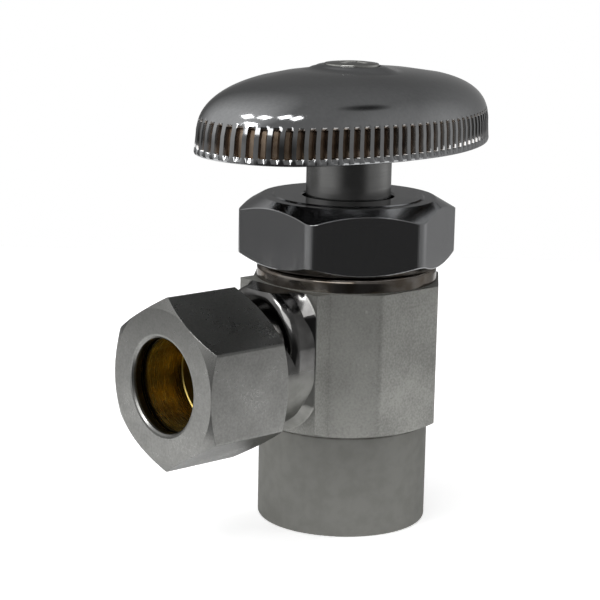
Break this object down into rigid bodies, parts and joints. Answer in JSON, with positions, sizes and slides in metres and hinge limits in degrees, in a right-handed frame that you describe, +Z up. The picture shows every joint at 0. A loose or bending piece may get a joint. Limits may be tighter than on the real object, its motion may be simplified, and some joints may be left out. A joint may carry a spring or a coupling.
{
  "type": "angle valve",
  "caption": "Chrome-plated angle valve with a solder cup inlet, a side compression outlet, a hexagon packing nut and an oval fluted handle.",
  "frame": {"origin": "centre of the inlet cup's mouth", "axes": "+Z up along the stem axis, -X along the outlet axis"},
  "size_m": [0.047, 0.0258, 0.0498],
  "materials": {
    "satin_chrome": "chrome plate over a ground forging, satin",
    "dark_chrome": "chrome plate, polished",
    "stem_chrome": "chrome plate over a turned bar, satin",
    "bright_chrome": "chrome plate, polished",
    "screw_chrome": "chrome plate, bright",
    "nut_chrome": "chrome plate over a machined bar, satin",
    "brass": "plain turned brass",
    "rubber": "moulded black rubber",
    "packing": "pressed packing ring"
  },
  "bodies": {
    "body": {"valve_body": "satin_chrome", "packing_nut": "dark_chrome", "packing_washer": "brass", "stem_packing": "packing", "gland_washer": "brass"},
    "seat_disc": {"seat_washer": "rubber"},
    "stem": {"stem": "stem_chrome", "seat_screw": "brass", "handle": "bright_chrome", "handle_screw": "screw_chrome"},
    "ferrule": {"ferrule": "brass"},
    "outlet_nut": {"compression_nut": "nut_chrome"}
  },
  "joints": [
    {"name": "stem_lift", "type": "slide", "parent": "body", "child": "seat_disc", "axis": [0, 0, 1], "range_m": [-0.00317, 0]},
    {"name": "handle_turn", "type": "hinge", "parent": "seat_disc", "child": "stem", "pos_m": [0, 0, 0.041], "axis": [0, 0, 1], "range_deg": [-900, 0]},
    {"name": "nut_advance", "type": "slide", "parent": "body", "child": "ferrule", "axis": [-1, 0, 0], "range_m": [0, 0.00317]},
    {"name": "nut_turn", "type": "hinge", "parent": "ferrule", "child": "outlet_nut", "pos_m": [-0.02, 0, 0.01818], "axis": [-1, 0, 0], "range_deg": [0, 1080]}
  ],
  "couplings": [
    {"joint": "handle_turn", "follows": "stem_lift", "rad_per_m": 4947.4},
    {"joint": "nut_turn", "follows": "nut_advance", "rad_per_m": 5938.7}
  ]
}
